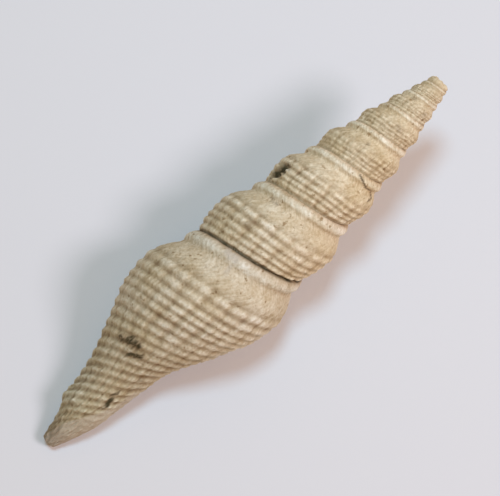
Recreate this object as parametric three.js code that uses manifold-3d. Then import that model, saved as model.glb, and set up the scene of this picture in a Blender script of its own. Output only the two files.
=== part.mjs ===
// A turreted spindle-shaped sea shell (a turrid), lying on a surface as it comes to rest by itself.
// The shell is one closed solid: spire, body whorl, siphonal canal, outer lip and the open aperture.
// Units are millimetres and +Z is up. The shell's own axis leans up from the canal tip to the apex.

import * as THREE from 'three';
import { ParametricGeometry } from 'three/addons/geometries/ParametricGeometry.js';
import { mergeGeometries, mergeVertices } from 'three/addons/utils/BufferGeometryUtils.js';
import Module from 'manifold-3d';

// ---- driving dimensions ------------------------------------------------------------------------

const SPIRE_TOP = 64.2;         // height above the canal tip that the coiling tends to
const SUTURE_DROP = 33.15;      // how far below SPIRE_TOP the suture is at turn 0
const TURN_RATIO = 0.745;       // each turn towards the apex is this much lower than the one before
const GIRTH = 7.71;             // radius of the whorl at turn 0, at its widest
const GIRTH_FALL = 0.16;        // how fast the radius falls per turn ...
const GIRTH_BEND = 0.0165;      // ... and how that rate rises, which gives the spire its convex outline
const SUTURE_GIRTH = 0.745;     // radius at the suture, as a share of the whorl's radius
const LIP_TURN = -0.383;        // where the shell stopped growing, in turns
const TURNS = 7;                // turns from the broken apex to the lip
const STEPS = 30;               // flat steps in one turn

const BAND_EDGE = 0.17;         // the groove below the band, as a share of the whorl's height
const BAND_DRIFT = 0.025;       // how much further down it lies on each older whorl
const RAMP_END = 0.4;           // where the ramp below it ends, as a share of the whorl's height
const BASE_TUCK = 0.05;         // how far the last whorl draws in below its widest part
const BASE_TUCK_POWER = 1.35;   // how late in the last turn it does so
const TUCK_FROM = 0.45;         // where on the whorl the drawing in starts ...
const TUCK_REACH = 0.6;         // ... and over how much of its height it builds up
const TIP_RADIUS = 0.86;        // radius of the canal's tip
const LIP_END = 3.3;            // height above the canal tip where the outer lip stops
const LIP_WALL = 0.7;           // thickness of the outer lip
const CALLUS = 0.15;            // thin layer laid on the inner side of the aperture
const APERTURE_TURNS = 0.1;     // how deep the open aperture runs into the whorl
const MOUTH_TURNS = 0.1;        // how far the cutting body stands out of the aperture
const SINUS_TURNS = 0.035;      // depth of the anal notch in the outer lip, on the ramp
const SINUS_PLACE = 0.25;       // its place below the suture, as a share of the whorl's height
const SINUS_WIDTH = 0.07;       // half its width, as a share of the whorl's height
const APERTURE_TOP = 0.13;      // where the aperture starts, as a share of the whorl's height
const CANAL_RISE = 40;          // how fast the floor of the aperture climbs inside, in mm per turn
const LEAST_GAP = 0.1;          // width the aperture keeps where the wall would close it
const WELD = 1e-4;              // points closer than this are one point

const TILT = 11.9;              // lean of the axis at rest, in degrees
const ROLL = 9.5;               // turn of the shell about its axis at rest, in degrees
const WORN = 0.45;              // depth worn flat where the shell touches the surface

// One whorl from its upper suture (0) to its lower suture (1), radius as a share of the whorl's girth.
const WHORL = [
  [0, SUTURE_GIRTH],
  [0.03, 0.79],
  [0.08, 0.828],
  [0.12, 0.83],
  [0.15, 0.815],
  [0.175, 0.8],
  [0.21, 0.82],
  [0.26, 0.885],
  [0.31, 0.935],
  [0.37, 0.975],
  [0.46, 1.005],
  [0.57, 1.01],
  [0.7, 0.995],
  [0.84, 0.96],
];

// The base of the last whorl, from its lower edge (1) to the canal tip (0), as shares of that edge's
// height and radius: on the lip side, on the back, and where it turns into the columella.
const BASE_HEIGHT = [1, 0.92, 0.84, 0.76, 0.68, 0.6, 0.5, 0.4, 0.3, 0.22, 0.12, 0];
const BASE_LIP = [1, 0.9, 0.82, 0.72, 0.645, 0.57, 0.505, 0.455, 0.43, 0.3, 0.21];
const BASE_BACK = [1, 0.9, 0.77, 0.64, 0.535, 0.49, 0.46, 0.43, 0.4, 0.37, 0.275];
const BASE_COLUMELLA = [1, 0.79, 0.62, 0.475, 0.365, 0.275, 0.225, 0.21, 0.2, 0.19, 0.18];
const LIP_SIDE = -0.25;
const BACK_SIDE = 0.25;
const COLUMELLA_SIDE = LIP_TURN + 1;

// ---- the growth law ------------------------------------------------------------------------------

const TOP_TURN = LIP_TURN + TURNS;

const girth = (turn) => GIRTH * Math.exp(-GIRTH_FALL * turn - GIRTH_BEND * turn * turn);
const sutureHeight = (turn) => SPIRE_TOP - SUTURE_DROP * TURN_RATIO ** turn;
const pitch = (turn) => sutureHeight(turn) - sutureHeight(turn - 1);
const smooth = (t) => THREE.MathUtils.smoothstep(t, 0, 1);

// Value of a list at a fractional place, counted in list steps.
function along(list, place) {
  const index = Math.min(Math.max(Math.floor(place), 0), list.length - 2);
  return THREE.MathUtils.lerp(list[index], list[index + 1], place - index);
}

// Value at x of an outline whose points run down in x or up in x.
function outlineAt(places, values, x) {
  const rising = places[1] > places[0];
  let index = 0;
  while (index < places.length - 2 && (rising ? x > places[index + 1] : x < places[index + 1])) {
    index += 1;
  }
  const share = (x - places[index]) / (places[index + 1] - places[index]);
  return THREE.MathUtils.lerp(values[index], values[index + 1], share);
}

// The last turn draws in towards its base; a turn that is covered by the next one doesn't.
function tuck(turn, share) {
  const age = Math.max(COLUMELLA_SIDE - turn, 0) / (COLUMELLA_SIDE - LIP_SIDE);
  return 1 - BASE_TUCK * age ** BASE_TUCK_POWER * smooth((share - TUCK_FROM) / TUCK_REACH);
}

// The band and the ramp take more of the whorl's height on the older whorls.
function drifted(turn, share) {
  const held = smooth(share / BAND_EDGE) * (1 - smooth((share - RAMP_END) / (1 - RAMP_END)));
  return share + BAND_DRIFT * Math.max(turn, 0) * held;
}

const lowerGirth = (turn) => SUTURE_GIRTH * girth(turn - 1) / girth(turn);
const whorlPlaces = [...WHORL.map(([share]) => share), 1];

function whorlRadius(turn, share) {
  const shares = [...WHORL.map(([, radius]) => radius), lowerGirth(turn)];
  return girth(turn) * outlineAt(whorlPlaces, shares, share) * tuck(turn, share);
}

// Share of the edge radius left at a place on the base, blended round the turn.
function baseShare(turn, place) {
  const lip = along([...BASE_LIP, 0], place);
  const back = along([...BASE_BACK, 0], place);
  const columella = along([...BASE_COLUMELLA, 0], place);
  if (turn < BACK_SIDE) {
    const blend = smooth((turn - LIP_SIDE) / (BACK_SIDE - LIP_SIDE));
    return THREE.MathUtils.lerp(lip, back, blend);
  }
  const blend = smooth((turn - BACK_SIDE) / (COLUMELLA_SIDE - BACK_SIDE));
  return THREE.MathUtils.lerp(back, columella, blend);
}

// Radius and height on the base, where place counts the steps of BASE_HEIGHT.
function basePoint(turn, place) {
  const edgeRadius = whorlRadius(turn, 1);
  const edgeHeight = sutureHeight(turn - 1);
  const last = BASE_HEIGHT.length - 1;
  const fade = Math.max(place - last + 1, 0);
  const bodyRadius = edgeRadius * baseShare(turn, Math.min(place, last - 1));
  return [THREE.MathUtils.lerp(bodyRadius, TIP_RADIUS, fade), edgeHeight * along(BASE_HEIGHT, place)];
}

// Radius of the outside at a height, on the whorl or below it on the base.
function radiusAtHeight(turn, height) {
  const edge = sutureHeight(turn - 1);
  if (height >= edge) {
    return whorlRadius(turn, (sutureHeight(turn) - height) / pitch(turn));
  }
  const place = outlineAt(BASE_HEIGHT, BASE_HEIGHT.map((_, index) => index), height / edge);
  return basePoint(turn, place)[0];
}

// A point of the shell's own frame: its axis is +Z, the apex up, and turn 0 faces -Y.
function place(turn, radius, height, target = new THREE.Vector3()) {
  const angle = 2 * Math.PI * turn - Math.PI / 2;
  return target.set(radius * Math.cos(angle), radius * Math.sin(angle), height);
}

// The notch sets the lip back on the ramp, and fades out behind the lip.
function notch(turn, share) {
  const near = smooth(1 - (turn - LIP_TURN) / (4 * SINUS_TURNS));
  const across = (share - SINUS_PLACE) / SINUS_WIDTH;
  return SINUS_TURNS * Math.exp(-across * across) * near;
}

function whorlPoint(turn, row, target) {
  const share = along(whorlPlaces, row);
  const set = row > 0 ? turn + notch(turn, share) : turn;
  const height = sutureHeight(set) - drifted(set, share) * pitch(set);
  return place(set, whorlRadius(set, share), height, target);
}

// ---- surfaces ------------------------------------------------------------------------------------

const whorlRows = whorlPlaces.length - 1;
const baseRows = BASE_HEIGHT.length - 1;

function whorls() {
  const surface = (u, v, target) => whorlPoint(TOP_TURN - u * TURNS, v * whorlRows, target);
  return new ParametricGeometry(surface, TURNS * STEPS, whorlRows);
}

function base() {
  const surface = (u, v, target) => {
    const turn = COLUMELLA_SIDE - u;
    const [radius, height] = basePoint(turn, v * baseRows);
    return place(turn, radius, height, target);
  };
  return new ParametricGeometry(surface, STEPS, baseRows);
}

// Lays a point of a cross-section out in 2-D, for a patch that faces the way the shell grows or back.
const forward = (point) => new THREE.Vector2(Math.hypot(point.x, point.y), point.z);
const backward = (point) => new THREE.Vector2(-Math.hypot(point.x, point.y), point.z);

// A flat or nearly flat patch inside a loop of points, with the loop laid out in 2-D by flat().
function patch(loop, flat) {
  const contour = loop.map(flat);
  const geometry = new THREE.BufferGeometry().setFromPoints(loop);
  geometry.setIndex(THREE.ShapeUtils.triangulateShape(contour, []).flat());
  return geometry;
}

const steps = (count) => Array.from({ length: count + 1 }, (_, index) => index);

// The wall that closes the aperture before it is hollowed: from the outer lip to the columella.
function apertureWall() {
  const onBase = (turn) => (row) => place(turn, ...basePoint(turn, row));
  const lip = steps(whorlRows).map((row) => whorlPoint(LIP_TURN, row, new THREE.Vector3()));
  const low = steps(baseRows).slice(1).map(onBase(LIP_TURN));
  const inner = steps(baseRows).slice(1, -1).map(onBase(COLUMELLA_SIDE));
  return patch([...lip, ...low, ...inner.reverse()], forward);
}

function canalTip() {
  const ring = steps(STEPS - 1).map((step) => place(COLUMELLA_SIDE - step / STEPS, TIP_RADIUS, 0));
  return patch(ring, (point) => new THREE.Vector2(-point.x, point.y));
}

// The apex is broken off: the break dips to a middle point, and its rim follows the last whorl left.
function brokenApex() {
  const spiral = steps(STEPS).map((step) => whorlPoint(TOP_TURN - step / STEPS, 0, new THREE.Vector3()));
  const start = steps(whorlRows).slice(1, -1).map((row) => whorlPoint(TOP_TURN, row, new THREE.Vector3()));
  const rim = [...spiral, ...start.reverse()];
  const middle = new THREE.Vector3(0, 0, sutureHeight(TOP_TURN - 0.25));
  const geometry = new THREE.BufferGeometry().setFromPoints([...rim, middle]);
  geometry.setIndex(rim.flatMap((_, index) => [(index + 1) % rim.length, index, rim.length]));
  return geometry;
}

// ---- the aperture --------------------------------------------------------------------------------

const HOLLOW_ROWS = 11;

// One cross-section of the hollow: down the outer wall and back up the columella.
function hollowSection(turn) {
  const depth = Math.max(turn - LIP_TURN, 0);
  const top = sutureHeight(turn) - APERTURE_TOP * pitch(turn);
  const bottom = LIP_END + CANAL_RISE * depth;
  const rows = steps(HOLLOW_ROWS).map((row) => THREE.MathUtils.lerp(top, bottom, row / HOLLOW_ROWS));
  const inner = rows.map((height) => [radiusAtHeight(turn + 1, height) + CALLUS, height]);
  const outer = rows.map((height, row) => {
    const wall = Math.max(radiusAtHeight(turn, height) - LIP_WALL, inner[row][0] + LEAST_GAP);
    return [wall, height];
  });
  return [...outer, ...inner.reverse()].map(([radius, height]) => place(turn, radius, height));
}

function hollow() {
  const count = Math.round((APERTURE_TURNS + MOUTH_TURNS) * STEPS);
  const from = LIP_TURN - MOUTH_TURNS;
  const sections = steps(count).map((step) => hollowSection(from + step / STEPS));
  const around = sections[0].length;
  const surface = (u, v, target) => {
    const section = sections[Math.min(Math.round(v * count), count)];
    return target.copy(section[Math.round(u * around) % around]);
  };
  return closed([
    new ParametricGeometry(surface, around, count),
    patch(sections[0], forward),
    patch(sections[count], backward),
  ]);
}

// ---- joining and cutting -------------------------------------------------------------------------

// One closed geometry from patches that share their edge points.
function closed(patches) {
  const bare = patches.map((geometry) => {
    geometry.deleteAttribute('normal');
    geometry.deleteAttribute('uv');
    return geometry;
  });
  return mergeVertices(mergeGeometries(bare), WELD);
}

const wasm = await Module();
wasm.setup();

function solid(geometry) {
  const mesh = new wasm.Mesh({
    numProp: 3,
    vertProperties: new Float32Array(geometry.attributes.position.array),
    triVerts: new Uint32Array(geometry.index.array),
  });
  mesh.merge();
  return new wasm.Manifold(mesh);
}

function geometryOf(body) {
  const mesh = body.getMesh();
  const geometry = new THREE.BufferGeometry();
  geometry.setAttribute('position', new THREE.BufferAttribute(mesh.vertProperties, 3));
  geometry.setIndex(new THREE.BufferAttribute(mesh.triVerts, 1));
  return geometry;
}

// ---- the shell at rest ---------------------------------------------------------------------------

// Lays the shell down: the aperture goes under, the apex leans up, and the lowest points sink by WORN.
function layDown(geometry) {
  geometry.rotateZ(THREE.MathUtils.degToRad(ROLL));
  geometry.rotateX(THREE.MathUtils.degToRad(-90));
  geometry.rotateZ(THREE.MathUtils.degToRad(-90));
  geometry.rotateY(THREE.MathUtils.degToRad(-TILT));
  geometry.computeBoundingBox();
  geometry.translate(0, 0, -geometry.boundingBox.min.z - WORN);
  return geometry;
}

// Everything below the surface that the shell lies on.
function ground() {
  const side = 3 * SPIRE_TOP;
  return new THREE.BoxGeometry(side, side, side).translate(0, 0, -side / 2);
}

function buildShell() {
  const grown = solid(closed([whorls(), base(), apertureWall(), canalTip(), brokenApex()]));
  const open = geometryOf(grown.subtract(solid(hollow())));
  const lying = solid(layDown(open)).subtract(solid(closed([ground()])));
  const geometry = geometryOf(lying);
  geometry.computeBoundingBox();
  const middle = geometry.boundingBox.getCenter(new THREE.Vector3());
  return geometry.translate(-middle.x, -middle.y, 0);
}

const shellMaterial = new THREE.MeshStandardMaterial({ color: 0xd2bf9f, roughness: 0.9, metalness: 0 });
const shell = new THREE.Mesh(buildShell(), shellMaterial);
shell.name = 'shell';

const group = new THREE.Group();
group.add(shell);

export default group;
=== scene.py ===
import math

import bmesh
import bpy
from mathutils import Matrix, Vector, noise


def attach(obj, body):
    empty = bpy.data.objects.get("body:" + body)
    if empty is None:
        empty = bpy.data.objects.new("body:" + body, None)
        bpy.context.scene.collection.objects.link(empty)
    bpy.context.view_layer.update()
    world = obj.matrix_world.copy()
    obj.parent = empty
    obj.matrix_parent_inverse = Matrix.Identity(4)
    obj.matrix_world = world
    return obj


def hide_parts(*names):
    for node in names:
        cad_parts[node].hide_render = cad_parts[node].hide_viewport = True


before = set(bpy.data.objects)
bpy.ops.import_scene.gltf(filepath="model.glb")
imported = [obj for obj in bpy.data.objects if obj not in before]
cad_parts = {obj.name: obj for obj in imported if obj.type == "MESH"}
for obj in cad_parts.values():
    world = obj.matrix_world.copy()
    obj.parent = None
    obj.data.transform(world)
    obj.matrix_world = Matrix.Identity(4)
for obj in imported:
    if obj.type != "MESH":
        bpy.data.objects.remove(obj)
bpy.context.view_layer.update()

# %% [markdown]
# A turrid shell, grown and finished in Blender.
# The real shell is one hollow spiral of lime, laid down at its own lip. It is long and slender, with a
# tall stepped spire, spiral cords with beads on them, and a straight canal at the other end.
# The CAD model holds its size and how it lies; this script gives it its surface. It grows the shell again
# from the same growth law, so it fills the CAD piece's place without being fitted to that piece.

MM = 0.001  # the growth law below counts in millimetres

# %% [markdown]
# The growth law. A snail adds to its lip at a steady pace, so each turn is a scaled copy of the last.
# Two formulas are enough: the height of the suture, where two whorls meet, and the girth of the whorl.
# Turns are counted back from the lip: turn 0 faces the viewer, and turn 1 lies one whorl above it.

# %% The growth law
SPIRE_TOP = 64.2
SUTURE_DROP = 33.15
TURN_RATIO = 0.745
GIRTH = 7.71
GIRTH_FALL = 0.16
GIRTH_BEND = 0.0165
LIP_TURN = -0.383
TURNS = 7
COLUMELLA_SIDE = LIP_TURN + 1
TOP_TURN = LIP_TURN + TURNS


def girth(turn):
    return GIRTH * math.exp(-GIRTH_FALL * turn - GIRTH_BEND * turn * turn)


def suture_height(turn):
    return SPIRE_TOP - SUTURE_DROP * TURN_RATIO ** turn


def pitch(turn):
    return suture_height(turn) - suture_height(turn - 1)


def smooth(value):
    value = min(max(value, 0.0), 1.0)
    return value * value * (3 - 2 * value)


def mix(a, b, share):
    return a + (b - a) * share


print("whorl heights in mm:", [round(pitch(turn), 1) for turn in range(7)])

# %% [markdown]
# The outline of one whorl, from the suture down: a crevice, a rounded band, a groove, a smooth ramp that
# swings out to the shoulder, and a side that draws in again to the next suture. Radii are shares of the
# whorl's girth. Below the last whorl the outline runs on down the base to the canal, and it isn't the same
# all round: it is fuller by the lip and thinnest on the columella, the pillar that the whorls wind about.
# On the last whorl the groove lies about a quarter of a millimetre higher here than in the CAD model.

# %% Outlines of the whorl and the base
SUTURE_GIRTH = 0.745
WHORL = (
    (0, SUTURE_GIRTH), (0.03, 0.79), (0.075, 0.828), (0.105, 0.83), (0.13, 0.815), (0.153, 0.8),
    (0.19, 0.818), (0.25, 0.878), (0.31, 0.935), (0.37, 0.975), (0.46, 1.005), (0.57, 1.01), (0.7, 0.995),
    (0.84, 0.96),
)
BASE_HEIGHT = (1, 0.92, 0.84, 0.76, 0.68, 0.6, 0.5, 0.4, 0.3, 0.22, 0.12, 0)
BASE_LIP = (1, 0.9, 0.82, 0.72, 0.645, 0.57, 0.505, 0.455, 0.43, 0.3, 0.21)
BASE_BACK = (1, 0.9, 0.77, 0.64, 0.535, 0.49, 0.46, 0.43, 0.4, 0.37, 0.275)
BASE_COLUMELLA = (1, 0.79, 0.62, 0.475, 0.365, 0.275, 0.225, 0.21, 0.2, 0.19, 0.18)
LIP_SIDE = -0.25
BACK_SIDE = 0.25
BASE_TUCK = 0.05
BASE_TUCK_POWER = 1.35
TUCK_FROM = 0.45
TUCK_REACH = 0.6
TIP_RADIUS = 0.86
BAND_EDGE = 0.17  # the lower edge of the band, as a share of the whorl's height
BAND_DRIFT = 0.025  # and how much further down it lies on each older whorl
DRIFT_FADE_FROM = 0.4
DRIFT_FADE_OVER = 0.6


def tuck(turn, share):
    age = max(COLUMELLA_SIDE - turn, 0.0) / (COLUMELLA_SIDE - LIP_SIDE)
    return 1 - BASE_TUCK * age ** BASE_TUCK_POWER * smooth((share - TUCK_FROM) / TUCK_REACH)


def drifted(turn, share):
    """The band and the ramp take more of the whorl's height on the older whorls."""
    held = smooth(share / BAND_EDGE) * (1 - smooth((share - DRIFT_FADE_FROM) / DRIFT_FADE_OVER))
    return share + BAND_DRIFT * max(turn, 0) * held


def whorl_knots(turn):
    """Heights and radii of the whorl's outline, from its upper suture to its lower edge."""
    lower = SUTURE_GIRTH * girth(turn - 1) / girth(turn)
    knots = []
    for share, radius in (*WHORL, (1, lower)):
        height = suture_height(turn) - drifted(turn, share) * pitch(turn)
        knots.append((height, radius * girth(turn) * tuck(turn, share)))
    return knots


def base_knots(turn):
    """Heights and radii below the whorl's lower edge, blended between the three outlines."""
    edge_height, edge_radius = whorl_knots(turn)[-1]
    knots = []
    for place, height in enumerate(BASE_HEIGHT[1:-1], 1):
        if turn < BACK_SIDE:
            blend = smooth((turn - LIP_SIDE) / (BACK_SIDE - LIP_SIDE))
            share = mix(BASE_LIP[place], BASE_BACK[place], blend)
        else:
            blend = smooth((turn - BACK_SIDE) / (COLUMELLA_SIDE - BACK_SIDE))
            share = mix(BASE_BACK[place], BASE_COLUMELLA[place], blend)
        knots.append((edge_height * height, edge_radius * share))
    knots.append((0.0, TIP_RADIUS))
    return knots


def through(knots):
    """A smooth curve through knots that run down in height: it gives the radius at a height."""
    heights = [height for height, _ in knots]
    radii = [radius for _, radius in knots]
    last = len(knots) - 1
    slopes = []
    for index in range(last + 1):
        low, high = max(index - 1, 0), min(index + 1, last)
        slopes.append((radii[high] - radii[low]) / (heights[high] - heights[low]))

    def radius_at(height):
        index = 0
        while index < last - 1 and height < heights[index + 1]:
            index += 1
        step = heights[index + 1] - heights[index]
        t = (height - heights[index]) / step
        ease = t * t * (3 - 2 * t)
        bend = step * t * (1 - t) * ((1 - t) * slopes[index] - t * slopes[index + 1])
        return mix(radii[index], radii[index + 1], ease) + bend

    return radius_at


print("outline has", len(WHORL) + 1, "points on a whorl and", len(BASE_HEIGHT), "on the base")

# %% [markdown]
# How the shell lies. It was set down with its aperture underneath. It touches at the canal tip, at the
# lip and under the body whorl, so the apex leans up. The turns that lay it down are the CAD model's own.
# Its place follows from the box of the CAD piece, whose middle is the origin.

# %% How the shell lies
TILT = math.radians(11.9)
ROLL = math.radians(9.5)
WORN = 0.45
laid = (
    Matrix.Rotation(-TILT, 4, "Y")
    @ Matrix.Rotation(math.radians(-90), 4, "Z")
    @ Matrix.Rotation(math.radians(-90), 4, "X")
    @ Matrix.Rotation(ROLL, 4, "Z")
)


def on_shell(turn, radius, height):
    """A point of the shell's own frame, with its axis upright and turn 0 facing -Y."""
    angle = math.tau * turn - math.pi / 2
    return Vector((radius * math.cos(angle), radius * math.sin(angle), height))


def outline_points(steps=60):
    for step in range(TURNS * steps + 1):
        turn = LIP_TURN + step / steps
        knots = whorl_knots(turn)
        if turn < COLUMELLA_SIDE:
            knots += base_knots(turn)
        for height, radius in knots:
            yield laid @ on_shell(turn, radius, height)


spots = list(outline_points())
lowest = min(spot.z for spot in spots)
kept = [spot for spot in spots if spot.z > lowest + WORN]
middle_x = (min(spot.x for spot in kept) + max(spot.x for spot in kept)) / 2
middle_y = (min(spot.y for spot in kept) + max(spot.y for spot in kept)) / 2
to_rest = Matrix.Scale(MM, 4) @ Matrix.Translation((-middle_x, -middle_y, -lowest - WORN)) @ laid
print("canal tip rests at", [round(number / MM, 2) for number in to_rest @ Vector((0, 0, 0))])

# %% [markdown]
# The camera looks down on the back of the shell, square to its axis but from a little nearer the apex.
# A long lens keeps the spire's proportions. The shell runs up to the right across the picture.

# %% Camera
LENS = 85
SENSOR = 36
ACROSS = 55.5  # the picture is this many millimetres wide where the shell lies
APEX_LEAN = math.radians(4)
AXIS_ANGLE = math.radians(42.45)
AIM = (-0.78, 0, 31.5)

towards = (to_rest.to_3x3() @ Vector((0, -math.cos(APEX_LEAN), math.sin(APEX_LEAN)))).normalized()
axis = (to_rest.to_3x3() @ Vector((0, 0, 1))).normalized()
flat_axis = (axis - towards * axis.dot(towards)).normalized()
right = Matrix.Rotation(-AXIS_ANGLE, 3, towards) @ flat_axis
up = towards.cross(right)
camera_data = bpy.data.cameras.new("camera")
camera_data.lens = LENS
camera_data.sensor_width = SENSOR
camera_data.clip_start = 0.01
camera_data.clip_end = 10
camera = bpy.data.objects.new("camera", camera_data)
bpy.context.collection.objects.link(camera)
away = ACROSS * LENS / SENSOR * MM
place = to_rest @ Vector(AIM) + towards * away
camera.matrix_world = Matrix.Translation(place) @ Matrix((right, up, towards)).transposed().to_4x4()
bpy.context.scene.camera = camera
height_angle = math.degrees(math.asin(towards.z))
print("camera", round(height_angle, 1), "degrees above the floor,", round(away, 3), "m away")

# %% [markdown]
# The rows of the surface. Rows are counted in whorl heights below the suture: 0 is the suture, 1 is the
# whorl's lower edge, and the rest lie on the base. They lie close together where the spiral cords are, so
# that each cord gets five or six of them, and further apart on the smooth ramp.

# %% Rows of the surface
BASE_DROP = suture_height(-1) / pitch(0)
BAND_ROWS = (
    0, 0.01, 0.025, 0.045, 0.07, 0.095, 0.115, 0.13, 0.145, 0.16, 0.185, 0.22, 0.26, 0.3, 0.335, 0.365,
)
CORD_ROWS = 34
BASE_ROWS = 84


def evenly(start, end, count):
    return [mix(start, end, step / count) for step in range(count + 1)]


whorl_rows = list(BAND_ROWS[:-1]) + evenly(BAND_ROWS[-1], 1, CORD_ROWS)
base_rows = evenly(1, 1 + BASE_DROP, BASE_ROWS)
print(len(whorl_rows), "rows on a whorl and", len(base_rows), "on the base")

# %% [markdown]
# The bare surface. A flat grid holds the right faces, one column for each step round the shell and one
# row for each line above, and the growth law moves its points into place. The upper whorls are small, so
# they get half as many steps. The UV map holds the growth line and the row of each point: the line swings
# back on the ramp, as the old edges of the lip do there.

# %% Growing the bare surface
STEPS = 264
FINE_TURNS = 3
SINUS_TURNS = 0.035
SINUS_PLACE = 0.25
SINUS_WIDTH = 0.07
LINE_SWING = 0.045
LINE_WIDTH = 0.13


def notch(turn, row):
    """How far the growth lines swing back on the ramp, close behind the lip."""
    near = smooth(1 - (turn - LIP_TURN) / (4 * SINUS_TURNS))
    across = (row - SINUS_PLACE) / SINUS_WIDTH
    return SINUS_TURNS * math.exp(-across * across) * near


def growth_line(turn, row):
    """The turn at which the growth line through this point meets the cords; it swings back on the ramp."""
    across = (row - SINUS_PLACE) / LINE_WIDTH
    return turn - LINE_SWING * math.exp(-across * across)


def row_height(turn, row):
    if row <= 1:
        return suture_height(turn) - row * pitch(turn)
    return suture_height(turn - 1) * (1 - (row - 1) / BASE_DROP)


def column(turn, with_base):
    knots = whorl_knots(turn) + (base_knots(turn) if with_base else [])
    return through(knots)


def grow(mesh, start, turns, steps, lines):
    """Adds a strip that runs from one turn down towards the lip, with the given rows."""
    count = round(turns * steps)
    made = bmesh.ops.create_grid(mesh, x_segments=count, y_segments=len(lines) - 1, size=1)
    turn_of, row_of = mesh.verts.layers.float["turn"], mesh.verts.layers.float["row"]
    curves = {}
    for vert in made["verts"]:
        step = round((vert.co.x + 1) / 2 * count)
        row = lines[round((vert.co.y + 1) / 2 * (len(lines) - 1))]
        turn = start - step / steps
        swung = turn + (notch(turn, row) if row > 0 else 0)
        if swung not in curves:
            curves[swung] = column(swung, swung < COLUMELLA_SIDE + 1e-6)
        height = row_height(swung, row)
        vert.co = on_shell(swung, curves[swung](height), height)
        vert[turn_of] = turn
        vert[row_of] = row
    uv = mesh.loops.layers.uv["growth"]
    for face in {face for vert in made["verts"] for face in vert.link_faces}:
        for loop in face.loops:
            turn, row = loop.vert[turn_of], loop.vert[row_of]
            loop[uv].uv = (growth_line(turn, row), row)
    return made["verts"]


shell = bmesh.new()
shell.verts.layers.float.new("turn")
shell.verts.layers.float.new("row")
shell.verts.layers.float.new("inside")
shell.loops.layers.uv.new("growth")
fine_top = LIP_TURN + FINE_TURNS
grow(shell, fine_top, FINE_TURNS, STEPS, whorl_rows)
coarse = grow(shell, TOP_TURN, TURNS - FINE_TURNS, STEPS // 2, whorl_rows)
grow(shell, COLUMELLA_SIDE, 1, STEPS, base_rows)
print("bare surface has", len(shell.verts), "points")

# %% [markdown]
# Joining. The lowest edges of the coarse whorls are cut in two, so they meet the finer whorl below point
# for point. Then merging the points that lie in the same place turns three strips into one surface.

# %% Joining the coarse whorls to the fine ones
MERGE_DISTANCE = 0.0008  # in mm
turn_of, row_of = shell.verts.layers.float["turn"], shell.verts.layers.float["row"]
meeting = {vert for vert in coarse if vert[row_of] == 1 and vert[turn_of] < fine_top + 1 + 1e-4}
edges = [edge for edge in shell.edges if edge.is_boundary and set(edge.verts) <= meeting]
edges = [edge for edge in edges if abs(edge.verts[0][turn_of] - edge.verts[1][turn_of]) > 1e-6]
cut = bmesh.ops.subdivide_edges(shell, edges=edges, cuts=1)
for vert in [item for item in cut["geom_inner"] if isinstance(item, bmesh.types.BMVert)]:
    turn = vert[turn_of]
    height = row_height(turn, 1)
    vert.co = on_shell(turn, column(turn, False)(height), height)
    vert[row_of] = 1
bmesh.ops.remove_doubles(shell, verts=shell.verts, dist=MERGE_DISTANCE)


def open_edges():
    return [edge for edge in shell.edges if edge.is_boundary]


print("after joining:", len(shell.verts), "points,", len(open_edges()), "open edges")

# %% [markdown]
# The two ends. The apex of the real shell is broken off, so the rim there is pulled in to a rough,
# slightly sunken break. The canal tip is worn round. Both are closed by extruding the open rim, shrinking
# it, and merging the last ring to one point, which leaves no hole and no large flat face.

# %% Closing the apex and the canal tip
APEX_LEVEL = suture_height(TOP_TURN - 0.15)


def rim_between(low, high):
    return [edge for edge in open_edges() if all(low < vert.co.z < high for vert in edge.verts)]


def close_end(rim, level, place, rings):
    """Extrudes a rim inward and gives the new faces one place on the UV map.

    Each ring is (share of the width left, pull to the level, roughness in mm).
    """
    inside_of, uv = shell.verts.layers.float["inside"], shell.loops.layers.uv["growth"]
    for width, pull, rough in rings:
        out = bmesh.ops.extrude_edge_only(shell, edges=rim)["geom"]
        new = [item for item in out if isinstance(item, bmesh.types.BMVert)]
        rim = [item for item in out if isinstance(item, bmesh.types.BMEdge) and item.is_boundary]
        for face in [item for item in out if isinstance(item, bmesh.types.BMFace)]:
            for corner in face.loops:
                corner[uv].uv = place
        for vert in new:
            vert[inside_of] = 1
            wobble = noise.noise(vert.co * 2.3) * rough
            vert.co = Vector((vert.co.x * width, vert.co.y * width, mix(vert.co.z, level, pull) + wobble))
    bmesh.ops.pointmerge(shell, verts=new, merge_co=sum((vert.co for vert in new), Vector()) / len(new))


tip_rows = BASE_DROP + 0.99
tip_rim = [edge for edge in rim_between(-0.1, 0.01) if all(vert[row_of] > tip_rows for vert in edge.verts)]
close_end(tip_rim, -0.12, (0, 2.7), ((0.93, 0.5, 0), (0.8, 0.8, 0.03), (0.5, 0.5, 0.05)))
apex_rings = ((0.99, 0.35, 0.1), (0.93, 0.6, 0.15), (0.7, 0.8, 0.2), (0.5, 0.6, 0.2))
close_end(rim_between(55, 66), APEX_LEVEL, (TOP_TURN, 0.6), apex_rings)
print("with both ends closed:", len(open_edges()), "open edges, all round the aperture")

# %% [markdown]
# The aperture. What is left open is one loop: down the outer lip and back up the columella. The loop is
# extruded ring by ring into the shell. The outer side follows the inside of the whorl at one wall
# thickness, and the inner side follows the older whorl under it, just as the real passage does. The rings
# start a little below the suture, so the passage never breaks out through it.

# %% The aperture and the lip's thickness
LIP_WALL = 0.62
CALLUS = 0.06
CANAL_FLOOR = 6.0
APERTURE_TOP = 0.13
TOP_REACH = 0.6
LEAST_WALL = 0.2
PASSAGE = ((0.0, 0.16), (0.002, 0.4), (0.008, 0.56), (0.02, 0.62), (0.045, 0.62), (0.08, 0.62),
           (0.12, 0.62), (0.165, 0.62), (0.21, 0.62), (0.25, 0.62))  # (depth in turns, wall in mm)

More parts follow.
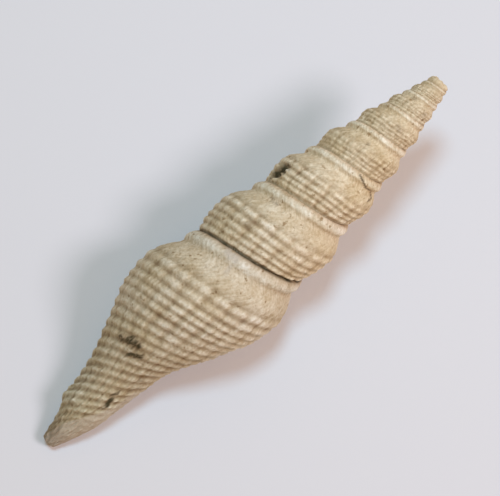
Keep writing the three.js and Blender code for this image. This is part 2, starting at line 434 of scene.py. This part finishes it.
side_of = shell.verts.layers.float.new("side")
side_of, inside_of = shell.verts.layers.float["side"], shell.verts.layers.float["inside"]
row_of, turn_of = shell.verts.layers.float["row"], shell.verts.layers.float["turn"]
loop = open_edges()
for vert in {vert for edge in loop for vert in edge.verts}:
    vert[side_of] = 1 if vert[turn_of] < 0 else 0
for deep, wall in PASSAGE:
    out = bmesh.ops.extrude_edge_only(shell, edges=loop)["geom"]
    loop = [item for item in out if isinstance(item, bmesh.types.BMEdge) and item.is_boundary]
    curves = {}
    for vert in {vert for edge in loop for vert in edge.verts}:
        row, on_lip = vert[row_of], vert[side_of] > 0.5
        start = LIP_TURN if on_lip else COLUMELLA_SIDE
        below_top = row if on_lip else row - 1
        height = row_height(start, row)
        depth = deep * smooth(height / CANAL_FLOOR)
        swing = notch(LIP_TURN, row) if on_lip and row > 0 else 0
        turn = start + swing + depth
        key = round(turn, 6)
        if key not in curves:
            outer = turn if on_lip else turn - 1
            curves[key] = (column(outer, True), column(outer + 1, True))
        lowered = APERTURE_TOP * smooth(wall / LIP_WALL) * max(1 - below_top / TOP_REACH, 0)
        height = row_height(turn, row) - lowered * pitch(0)
        outer_wall, inner_wall = curves[key]
        floor = inner_wall(min(height, suture_height(turn - (0 if on_lip else 1)))) + CALLUS * wall / LIP_WALL
        radius = max(outer_wall(height) - wall, floor) if on_lip else floor
        if wall > LEAST_WALL:
            radius = min(radius, outer_wall(height) - LEAST_WALL)
        vert.co = on_shell(turn, radius, height)
        vert[turn_of] = turn
        vert[inside_of] = 1
print("inmost ring has", len(loop), "edges")
bmesh.ops.holes_fill(shell, edges=loop)
inmost = [face for face in shell.faces if len(face.verts) > 4]
bmesh.ops.triangulate(shell, faces=inmost)
bmesh.ops.recalc_face_normals(shell, faces=shell.faces)
print("closed:", len(open_edges()), "open edges,", len(shell.faces), "faces")

# %% [markdown]
# The pattern of the relief. Spiral cords run down the whorls, and low ribs cross them, so each cord is a
# row of long beads. Cords are numbered from the first one under the ramp. They lie a fixed way below the
# suture, so on the base they climb round the shell with it, and on the older whorls they stand a little
# further apart. The ribs follow the old edges of the lip, and an older whorl has fewer of them.

# %% Where the cords and ribs lie
FIRST_CORDS = (0.468, 0.593, 0.697, 0.785, 0.871)
CORD_PITCH = 0.104
CORD_DRIFT = 0.06
CORD_SPREAD = 0.136  # how much further apart the cords are with each turn, up to a limit
SPREAD_FROM = 0.3
SPREAD_TURNS = 1.05
SPREAD_MIDDLE = 0.64
RIBS = 20.6
RIB_LOSS = 1.5
BASE_LEAN = 1.44  # ribs of lean for each row down the base
LEAN_FROM = 1.1
NOISE_TURN = 6  # noise steps in one turn, in one row, and from whorl to whorl
NOISE_ROW = 1.6
NOISE_WHORL = 0.7


def below_suture(turn, row):
    """Distance below the suture in heights of the last whorl, which is the row itself above the base."""
    if row <= 1:
        return row
    return 1 + (suture_height(turn - 1) - row_height(turn, row)) / pitch(0)


def cord_number(turn, row):
    """A whole number on the crest of each cord, and halves in the troughs; below 0 is the ramp."""
    place = below_suture(turn, row) - CORD_DRIFT * min(max(turn, 0), 2)
    spread = 1 + CORD_SPREAD * min(max(turn - SPREAD_FROM, 0), SPREAD_TURNS)
    place = SPREAD_MIDDLE + (place - SPREAD_MIDDLE) / spread
    for index, (upper, lower) in enumerate(zip(FIRST_CORDS, FIRST_CORDS[1:])):
        if place < lower:
            return index + (place - upper) / (lower - upper)
    return len(FIRST_CORDS) - 1 + (place - FIRST_CORDS[-1]) / CORD_PITCH


def rib_number(turn, row):
    """A whole number in the gap before each rib."""
    age = min(max(turn, 0), 1)
    count = RIBS * turn - RIB_LOSS * age * age - 2 * RIB_LOSS * max(turn - 1, 0)
    return count - BASE_LEAN * max(row - LEAN_FROM, 0)


def spot(turn, row, fine):
    """A place for noise that runs on smoothly from whorl to whorl."""
    return Vector((turn * NOISE_TURN * fine, row * NOISE_ROW * fine, turn * NOISE_WHORL))


print("cords down the back of the shell:", int(cord_number(0, 1 + BASE_DROP)) + 1)

# %% [markdown]
# The height of the relief. A cord is a wave across the whorl and the ribs are notches cut through it.
# Noise shifts both, because no two beads on a worn old shell are alike. The relief fades on the ramp, on
# the fasciole (the smooth swelling that winds round the canal), and by the lip. Each point also keeps
# how far up the relief it is, from 0 in a trough to 1 on a bead: the finish colours it by that.

# %% The relief of cords and ribs
CORD_HEIGHT = 0.19  # this and the next three are in mm
RIB_HEIGHT = 0.14
GRAIN_HEIGHT = 0.07
CREVICE = 0.5
SIZE_POWER = 0.75  # the relief shrinks with the girth of the whorl, but not as fast
OLD_FROM = 0.8
OLD_OVER = 2.5
OLD_GRAIN = 1.6
CANAL_GRAIN = 0.7
CORD_WOBBLE = (0.16, 0.32)  # in cords, on a fresh whorl and on a worn one
RIB_WOBBLE = 0.3  # in ribs
OLD_CORDS = 0.5  # the share of their height that is left on the oldest whorls
OLD_RIBS = 0.85
CANAL_CORD_LOSS = 0.55
CANAL_RIB_LOSS = 0.6
BASE_RIBS = 0.75
TROUGH_RIBS = 0.45
RAMP_GRAIN = 1.3
GAP_SHARPNESS = 3
HALF_GAP = 0.22  # a weaker notch in the middle of each rib
SUTURE_CREST = 0.25
RAMP_CREST = 0.72
BAND_CREST = 0.2
MIDDLE_CREST = 0.54
CREST_FROM_CORD = 0.62
CREST_FROM_RIB = 0.42
CREST_FROM_GRAIN = 0.16
FASCIOLE_ROW = 1.78
FASCIOLE_TURN = 0.14
FASCIOLE_BEND = 2.03  # the row below which its edge climbs round the canal
FASCIOLE_CLIMB = 0.4
FASCIOLE_SMOOTH = 0.5
FASCIOLE_EDGE = 0.03  # in turns, and the next in rows
FASCIOLE_TOP = 0.1
LIP_FADE = 0.01
CORD_NOISE = Vector((9, 0, 0))
RIB_NOISE = Vector((0, 7, 0))


def fasciole(turn, row):
    """1 on the smooth swelling beside the canal, 0 elsewhere."""
    edge = FASCIOLE_TURN - FASCIOLE_CLIMB * max(row - FASCIOLE_BEND, 0)
    return smooth((turn - edge) / FASCIOLE_EDGE + 0.5) * smooth((row - FASCIOLE_ROW) / FASCIOLE_TOP)


def wave(number):
    """1 at whole numbers, 0 at the halves between them."""
    return 0.5 + 0.5 * math.cos(math.tau * number)


def relief(turn, row):
    """Height of the surface detail in mm, and how high up the detail the point is, from 0 to 1."""
    size = (girth(turn) / GIRTH) ** SIZE_POWER
    old = smooth((turn - OLD_FROM) / OLD_OVER)
    rough = 1 + CANAL_GRAIN * smooth((row - 2) / 0.4)
    grain = rough * noise.fractal(spot(turn, row, 9), 1, 2, 3) * mix(1, OLD_GRAIN, old)
    at_suture = row <= 0.001 or (abs(row - 1) < 0.001 and turn > COLUMELLA_SIDE)
    if at_suture:
        return -CREVICE * size, SUTURE_CREST
    blotch = noise.noise(spot(turn, row, 1.1))
    cord_shift = mix(*CORD_WOBBLE, old) * noise.noise(spot(turn, row, 1.4) + CORD_NOISE)
    cord_at = cord_number(turn, row) + cord_shift
    rib_at = rib_number(turn, row) + RIB_WOBBLE * noise.noise(spot(turn, row, 1.7) + RIB_NOISE)
    if cord_at < -1:
        swell = 0.4 * blotch + 0.6 * grain
        bleached = BAND_CREST * (1 - smooth((row - BAND_EDGE + 0.06) / 0.06))
        return size * GRAIN_HEIGHT * RAMP_GRAIN * swell, RAMP_CREST + bleached + 0.2 * swell
    on_base = smooth((row - 1.05) / 0.6)
    canal = smooth((row - 2.05) / 0.5)
    plain = 1 - FASCIOLE_SMOOTH * fasciole(turn, row)
    cord = mix(wave(cord_at) ** 0.8, wave(cord_at) ** 1.5, on_base)
    gap = wave(rib_at) ** GAP_SHARPNESS
    half_gap = wave(2 * rib_at + 0.1) ** GAP_SHARPNESS
    rib = 1 - gap * (0.85 + 0.3 * blotch) - HALF_GAP * half_gap * (0.6 + blotch)
    corded = smooth((cord_at + 1) / 0.8) * (1 - CANAL_CORD_LOSS * canal) * mix(1, OLD_CORDS, old) * plain
    cord_part = corded * (cord - 0.5) * (1 + 0.5 * blotch)
    ribbed = mix(1, BASE_RIBS, on_base) * smooth((cord_at + 0.9) / 0.7)
    ribbed = ribbed * (1 - CANAL_RIB_LOSS * canal) * mix(1, OLD_RIBS, old)
    rib_part = ribbed * plain * (rib - 0.6) * mix(TROUGH_RIBS, 1, cord)
    height = CORD_HEIGHT * cord_part + RIB_HEIGHT * rib_part + GRAIN_HEIGHT * grain
    crest = MIDDLE_CREST + 0.1 * (1 - plain) + CREST_FROM_CORD * cord_part + CREST_FROM_RIB * rib_part
    crest += CREST_FROM_GRAIN * grain
    return size * height, min(max(crest, 0), 1)


def lip_fade(turn, row):
    """0 at the edge of the aperture, 1 from a little way behind it."""
    from_lip = turn - LIP_TURN
    if row > 1:
        from_lip = min(from_lip, COLUMELLA_SIDE - turn)
    return smooth(from_lip / LIP_FADE)


print("relief on the shoulder in mm:", round(relief(0.025, FIRST_CORDS[0])[0], 3))

# %% [markdown]
# Damage, dirt and painted shade. This is an old, worn shell. A chip has broken out of the third whorl and
# left a hollow, darkened with painted shade for its shaded inside; a crack runs over the band and the ramp of
# the same whorl, and soil sits in the suture above the last whorl and in the troughs of the base. Each mark
# is a short row of (turn, row) points with a width. The mesh takes them as two values, one for dark stains
# together with the painted shade of the hollow, and one for chalky patches, and the hollow also sinks in.

# %% Marks on the surface
HOLLOW = ((1.795, 0.84), (1.82, 0.78), (1.825, 0.7))
CRACK = ((2.053, 0.055), (2.083, 0.115), (2.12, 0.18), (2.166, 0.198), (2.194, 0.292), (2.168, 0.362))
SHORT_CRACK = ((0.895, 0.19), (0.933, 0.22))
STAINS_AND_SHADE = (  # (points, half width in rows, strength); a strength above 1 outweighs the patchiness
    # The hollow's dark colour is painted shade for its shaded inside; it also sinks in below.
    (HOLLOW, 0.09, 1.4),
    (CRACK, 0.017, 0.95),
    (SHORT_CRACK, 0.02, 0.6),
    (((0.931, 0.642),), 0.05, 0.5),
    (((0.069, 0.80), (0.07, 0.85)), 0.012, 0.45),
    (((-0.075, 1.3), (-0.035, 1.32)), 0.05, 1.05),
    (((-0.11, 1.33), (-0.09, 1.34)), 0.035, 0.9),
    (((-0.045, 1.45), (0.0, 1.40)), 0.035, 1.05),
    (((0.07, 1.98), (0.085, 2.05)), 0.045, 1.15),
    (((0.05, 1.92), (0.065, 1.88)), 0.03, 0.9),
    (((0.11, 1.83), (0.13, 1.76)), 0.03, 0.6),
    (((0.055, 2.17), (0.03, 2.27)), 0.025, 0.5),
    (((-0.15, 2.5), (-0.02, 2.62)), 0.08, 0.35),
    (((-0.14, 2.02), (-0.13, 2.06)), 0.03, 0.5),
    (((-0.12, 2.2), (-0.08, 2.24)), 0.04, 0.35),
    (((0.07, 1.77), (0.098, 1.5)), 0.015, 0.5),
    (((0.085, 1.66), (0.1, 1.63)), 0.03, 0.55),
    (((2.98, 0.4),), 0.04, 0.6),
    (((4.02, 0.5), (4.04, 0.6)), 0.06, 0.4),
    (((4.94, 0.3),), 0.09, 0.5),
    (((5.1, 0.6),), 0.09, 0.4),
)
CHALK = (  # the same for the bleached patches
    (((-0.055, 0.05), (-0.02, 0.07)), 0.035, 0.8),
    (((-0.02, 0.16), (-0.01, 0.24)), 0.02, 0.5),
    (((1.755, 0.56), (1.765, 0.62)), 0.04, 0.7),
    (((1.85, 0.8), (1.86, 0.68)), 0.02, 0.5),
)
TURN_IN_ROWS = 4.0  # one turn is about as long as four rows
HOLLOW_DEPTH = 0.45  # in mm
FASCIOLE_CHALK = 0.5
SAME_PLACE = 0.3  # marks further off than this many turns aren't measured
SOFT_EDGE = 1.6
RAGGED = 0.8
RAGGED_STEPS = (90, 22)  # noise steps in one turn and in one row
PATCH_MIDDLE = 0.9
PATCH_RANGE = 0.5
PATCH_STEPS = (230, 60)
SOIL_OLDEST = 0.45  # the turn from which the suture is cleaner
SOIL_FADE = 0.5
SOIL_HALF_WIDTH = 0.012
SOIL_EDGE = 0.02
SOIL_MIDDLE = 0.85
SOIL_STEPS = (30, 0)
INSIDE_CREST = 0.6
DARK = 0.3  # the value of stain and painted shade from which a point is counted as dark


def away_from(points, turn, row):
    """Distance in rows from a short row of points joined by straight lines."""
    x, y = turn * TURN_IN_ROWS, row
    places = [(a * TURN_IN_ROWS, b) for a, b in points]
    best = math.dist((x, y), places[0])
    for (ax, ay), (bx, by) in zip(places, places[1:]):
        length = (bx - ax) ** 2 + (by - ay) ** 2
        share = min(max(((x - ax) * (bx - ax) + (y - ay) * (by - ay)) / length, 0), 1)
        best = min(best, math.dist((x, y), (mix(ax, bx, share), mix(ay, by, share))))
    return best


def noise_over(turn, row, steps, layer):
    return noise.noise(Vector((turn * steps[0], row * steps[1], layer)))


def marked(marks, turn, row):
    """How strongly a point is marked, with a ragged edge and a patchy inside."""
    ragged = 1 + RAGGED * noise_over(turn, row, RAGGED_STEPS, 0)
    patchy = PATCH_MIDDLE + PATCH_RANGE * noise_over(turn, row, PATCH_STEPS, 3)
    most = 0.0
    for points, width, strength in marks:
        if abs(points[0][0] - turn) < SAME_PLACE:
            near = away_from(points, turn, row) / (width * ragged)
            most = max(most, min(strength * patchy, 1) * smooth(SOFT_EDGE - near))
    return most


def soil_in_suture(turn, row):
    """Reddish soil in the suture above the last whorl; the older sutures are cleaner."""
    below = turn if row < 0.5 else turn - 1
    near = min(row, abs(row - 1)) if below > LIP_TURN else row
    fresh = 1 - smooth((below - SOIL_OLDEST) / SOIL_FADE)
    patchy = SOIL_MIDDLE + PATCH_RANGE * noise_over(turn, row, SOIL_STEPS, 5)
    return fresh * min(patchy, 1) * (1 - smooth((near - SOIL_HALF_WIDTH) / SOIL_EDGE))


shell.verts.layers.float.new("crest")
shell.verts.layers.float.new("stain_and_shade")
shell.verts.layers.float.new("chalk")
stain_and_shade_of, chalk_of = shell.verts.layers.float["stain_and_shade"], shell.verts.layers.float["chalk"]
up_of, inside_of = shell.verts.layers.float["crest"], shell.verts.layers.float["inside"]
row_of, turn_of = shell.verts.layers.float["row"], shell.verts.layers.float["turn"]
shell.normal_update()
darkened = 0
for vert in shell.verts:
    turn, row = vert[turn_of], vert[row_of]
    if vert[inside_of] > 0.5:
        vert[up_of] = INSIDE_CREST
        continue
    rise, crest = relief(turn, row)
    rise -= HOLLOW_DEPTH * marked(STAINS_AND_SHADE[:1], turn, row)
    # This value holds soil and stains, and the painted shade in the chip's hollow.
    vert[stain_and_shade_of] = max(marked(STAINS_AND_SHADE, turn, row), soil_in_suture(turn, row))
    vert[chalk_of] = max(marked(CHALK, turn, row), FASCIOLE_CHALK * fasciole(turn, row))
    vert[up_of] = crest
    vert.co += vert.normal * rise * lip_fade(turn, row)
    darkened += vert[stain_and_shade_of] > DARK
print(darkened, "points carry a dark stain")

# %% [markdown]
# Laying down. Edges of no length are dropped, and the shell is turned into the pose that it rests in. The
# few points that would sink into the surface are pressed flat on it, which gives the small worn spots that
# it stands on. It then takes the place of the CAD model's piece and rides on the same root.

# %% Laying the shell down
SHORTEST_EDGE = 0.0001  # in mm
bmesh.ops.dissolve_degenerate(shell, dist=SHORTEST_EDGE, edges=shell.edges)
print("after dropping edges of no length:", len(shell.verts), "points")
bmesh.ops.transform(shell, matrix=to_rest, verts=shell.verts)
flat = 0
for vert in shell.verts:
    if vert.co.z < 0:
        vert.co.z = 0
        flat += 1
print(flat, "points lie on the surface")
data = bpy.data.meshes.new("shell_grown")
shell.to_mesh(data)
data.shade_smooth()
grown = bpy.data.objects.new("shell_grown", data)
bpy.context.collection.objects.link(grown)
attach(grown, "root")
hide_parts("shell")
print(len(data.polygons), "faces")

# %% [markdown]
# The finish: old chalky lime. It scatters light like plaster, so it is very rough and has no polish. Its
# colour follows the relief first: soil-brown troughs, beige sides and bleached bead tops.

# %% The finish, by height in the relief
CREST_COLOURS = (
    (0.0, (0.36, 0.27, 0.185)),
    (0.22, (0.54, 0.45, 0.34)),
    (0.45, (0.72, 0.64, 0.52)),
    (0.7, (0.87, 0.8, 0.68)),
    (1.0, (0.98, 0.94, 0.86)),
)
lime = bpy.data.materials.new("shell_lime")
lime.use_nodes = True
nodes, links = lime.node_tree.nodes, lime.node_tree.links
bsdf = nodes["Principled BSDF"]
bsdf.inputs["Roughness"].default_value = 0.92
bsdf.inputs["Specular IOR Level"].default_value = 0.25


def attribute(name):
    item = nodes.new("ShaderNodeAttribute")
    item.attribute_name = name
    return item.outputs["Fac"]


def ramp(value, stops):
    item = nodes.new("ShaderNodeValToRGB")
    item.color_ramp.interpolation = "LINEAR"
    for index, (place, colour) in enumerate(stops):
        stop = item.color_ramp.elements[index] if index < 2 else item.color_ramp.elements.new(place)
        stop.position = place
        stop.color = (*colour, 1)
    links.new(value, item.inputs["Fac"])
    return item.outputs["Color"]


def blend(kind, factor, below, above):
    """Mixes two colours; a factor or a colour may be a plain value or another node's output."""
    item = nodes.new("ShaderNodeMix")
    item.data_type = "RGBA"
    item.blend_type = kind
    for socket, given in ((item.inputs[0], factor), (item.inputs[6], below), (item.inputs[7], above)):
        if isinstance(given, bpy.types.NodeSocket):
            links.new(given, socket)
        else:
            socket.default_value = given
    return item.outputs[2]


colour = ramp(attribute("crest"), CREST_COLOURS)
print("colours by height:", len(CREST_COLOURS))

# %% [markdown]
# Then the place on the whorl. The UV map made while growing holds the growth line, counted in turns, and
# the row. So a ramp of tints over the rows can make the band by the suture pale, what lies below it a little
# yellower, and the canal brown. A second one over the turns makes the older whorls paler than the last.

# %% The finish, by place on the whorl
ROWS_SHOWN = 2.75
ROW_TINTS = (
    (0.0, (0.62, 0.5, 0.38)),
    (0.012, (0.86, 0.78, 0.67)),
    (0.03, (1.0, 1.0, 0.95)),
    (0.045, (1.0, 1.0, 0.94)),
    (0.056, (0.86, 0.8, 0.69)),
    (0.075, (0.97, 0.92, 0.81)),
    (0.15, (0.94, 0.9, 0.79)),
    (0.18, (1.0, 0.97, 0.88)),
    (0.36, (0.97, 0.95, 0.87)),
    (0.44, (0.86, 0.82, 0.7)),
    (0.65, (0.83, 0.8, 0.69)),
    (0.8, (0.86, 0.87, 0.76)),
    (0.9, (0.8, 0.77, 0.67)),
    (1.0, (0.5, 0.42, 0.33)),
)
OLD_TURNS = 7.0
AGE_TINTS = (
    (0.0, (0.89, 0.91, 0.93)),
    (0.1, (0.9, 0.92, 0.93)),
    (0.17, (1.0, 1.0, 0.98)),
    (1.0, (1.0, 0.98, 0.91)),
)
growth = nodes.new("ShaderNodeUVMap")
growth.uv_map = "growth"
parts = nodes.new("ShaderNodeSeparateXYZ")
links.new(growth.outputs["UV"], parts.inputs["Vector"])


def scaled(value, low, high):
    """Maps a value from between two bounds to between 0 and 1."""
    item = nodes.new("ShaderNodeMapRange")
    item.inputs["From Min"].default_value = low
    item.inputs["From Max"].default_value = high
    links.new(value, item.inputs["Value"])
    return item.outputs["Result"]


colour = blend("MULTIPLY", 1.0, colour, ramp(scaled(parts.outputs["Y"], 0, ROWS_SHOWN), ROW_TINTS))
colour = blend("MULTIPLY", 1.0, colour, ramp(scaled(parts.outputs["X"], 0, OLD_TURNS), AGE_TINTS))
print("tints by row:", len(ROW_TINTS), "and by turn:", len(AGE_TINTS))

# %% [markdown]
# Then chance. Soil has coloured the lime in soft clouds of ochre and grey, fine growth lines run across
# the whorls, and small specks of dirt sit anywhere. The clouds and specks are noise in the object's own
# space; the growth lines are noise on the UV map, stretched along the rows.

# %% The finish, by chance
def speckle(place, scale, detail, low, high, colours):
    """Noise at a place, with its contrast stretched between two bounds, as a ramp of colours."""
    item = nodes.new("ShaderNodeTexNoise")
    item.inputs["Scale"].default_value = scale
    item.inputs["Detail"].default_value = detail
    links.new(place, item.inputs["Vector"])
    return ramp(scaled(item.outputs["Fac"], low, high), ((0.0, colours[0]), (1.0, colours[1])))


def stretched(across, along):
    """The UV map scaled differently along the turn and the row."""
    item = nodes.new("ShaderNodeMapping")
    item.inputs["Scale"].default_value = (across, along, 1)
    links.new(growth.outputs["UV"], item.inputs["Vector"])
    return item.outputs["Vector"]


WHITE = (1.0, 1.0, 1.0)
LINES = (130, 4)  # noise steps in one turn and in one row
here = nodes.new("ShaderNodeTexCoord").outputs["Object"]
clouds = speckle(here, 170, 3, 0.32, 0.68, ((0.92, 0.87, 0.76), WHITE))
patches = speckle(here, 700, 5, 0.3, 0.65, ((0.84, 0.79, 0.72), WHITE))
lines = speckle(stretched(*LINES), 1, 3, 0.32, 0.62, ((0.82, 0.785, 0.73), WHITE))
grit = speckle(here, 3200, 3, 0.3, 0.6, ((0.8, 0.75, 0.68), WHITE))
specks = speckle(here, 1500, 3, 0.27, 0.36, ((0.55, 0.46, 0.36), WHITE))
for layer in (clouds, patches, lines, grit, specks):
    colour = blend("MULTIPLY", 1.0, colour, layer)
# The darkest stops colour soil stains, and also the chip's hollow, where they are painted shade.
STAIN_AND_SHADE_COLOURS = ((0.0, (0.25, 0.165, 0.085)), (0.6, (0.15, 0.095, 0.045)), (1.0, (0.055, 0.045, 0.018)))
CHALK_COLOUR = (0.52, 0.455, 0.36, 1)
colour = blend("MIX", attribute("chalk"), colour, CHALK_COLOUR)
stain_and_shade = attribute("stain_and_shade")
colour = blend("MIX", stain_and_shade, colour, ramp(stain_and_shade, STAIN_AND_SHADE_COLOURS))
links.new(colour, bsdf.inputs["Base Color"])
print("the finish has", len(nodes), "nodes")

# %% [markdown]
# Last the feel of the surface. Chalk grain, pits and the fine growth lines are too small for the mesh, so
# a bump node tilts the light on them. The highest are about a tenth of a millimetre high.

# %% The finish, fine bumps
GRAIN_BUMP = 0.13
LINE_BUMP = 0.09


def bump(height, tall, below=None):
    item = nodes.new("ShaderNodeBump")
    item.inputs["Strength"].default_value = 1
    item.inputs["Distance"].default_value = tall * MM
    links.new(height, item.inputs["Height"])
    if below:
        links.new(below, item.inputs["Normal"])
    return item.outputs["Normal"]


def plain_noise(place, scale, detail):
    item = nodes.new("ShaderNodeTexNoise")
    item.inputs["Scale"].default_value = scale
    item.inputs["Detail"].default_value = detail
    links.new(place, item.inputs["Vector"])
    return item.outputs["Fac"]


grain_normal = bump(plain_noise(here, 2600, 4), GRAIN_BUMP)
links.new(bump(plain_noise(stretched(*LINES), 1, 3), LINE_BUMP, grain_normal), bsdf.inputs["Normal"])
data.materials.append(lime)
print("bumps in mm:", GRAIN_BUMP, LINE_BUMP)

# %% [markdown]
# The floor is plain matte card, large enough that its edges never show.

# %% The floor
FLOOR_HALF = 1.5  # in m
floor_data = bpy.data.meshes.new("floor")
floor_mesh = bmesh.new()
bmesh.ops.create_grid(floor_mesh, x_segments=1, y_segments=1, size=FLOOR_HALF)
floor_mesh.to_mesh(floor_data)
floor = bpy.data.objects.new("floor", floor_data)
bpy.context.collection.objects.link(floor)
paper = bpy.data.materials.new("paper")
paper.use_nodes = True
card = paper.node_tree.nodes["Principled BSDF"]
card.inputs["Base Color"].default_value = (0.7, 0.7, 0.7, 1)
card.inputs["Roughness"].default_value = 0.95
card.inputs["Specular IOR Level"].default_value = 0.1
floor_data.materials.append(paper)
print("floor is", round(max(floor.dimensions), 1), "m wide")

# %% [markdown]
# Two soft lights stand at different sides, so the shell throws a shadow each way, and each shadow takes
# the colour of the other light. The room itself adds a warm glow. The discs are small and stand less than
# half a metre away, so the relief stays crisp and the floor darkens a little with distance.

# %% Light
def soft_light(name, azimuth, elevation, distance, size, power, colour):
    """A disc that shines on the shell, with angles in degrees, distance and size in m, and power in W.

    Azimuth is on the floor, from the picture's right-hand side, counter-clockwise seen from above.
    """
    light = bpy.data.lights.new(name, "AREA")
    light.shape = "DISK"
    light.size = size
    light.energy = power
    light.color = colour
    item = bpy.data.objects.new(name, light)
    bpy.context.collection.objects.link(item)
    side = Vector((right.x, right.y, 0)).normalized()
    flat_turn = Matrix.Rotation(math.radians(azimuth), 3, "Z")
    way = flat_turn @ side * math.cos(math.radians(elevation))
    way += Vector((0, 0, math.sin(math.radians(elevation))))
    item.matrix_world = Matrix.Translation(way * distance) @ way.to_track_quat("Z", "Y").to_matrix().to_4x4()
    print(name, "shines from", [round(part, 2) for part in way])


WARM_GLOW = 0.4
soft_light(
    "main_light", azimuth=-15, elevation=47, distance=0.45, size=0.14, power=1.06, colour=(0.96, 0.88, 1.0),
)
soft_light(
    "second_light", azimuth=97, elevation=76, distance=0.3, size=0.08, power=0.485, colour=(0.46, 0.76, 1.0),
)
world = bpy.data.worlds.new("room")
world.use_nodes = True
world.node_tree.nodes["Background"].inputs["Color"].default_value = (1.0, 0.66, 0.36, 1)
world.node_tree.nodes["Background"].inputs["Strength"].default_value = WARM_GLOW
bpy.context.scene.world = world
bpy.context.scene.view_settings.view_transform = "Standard"
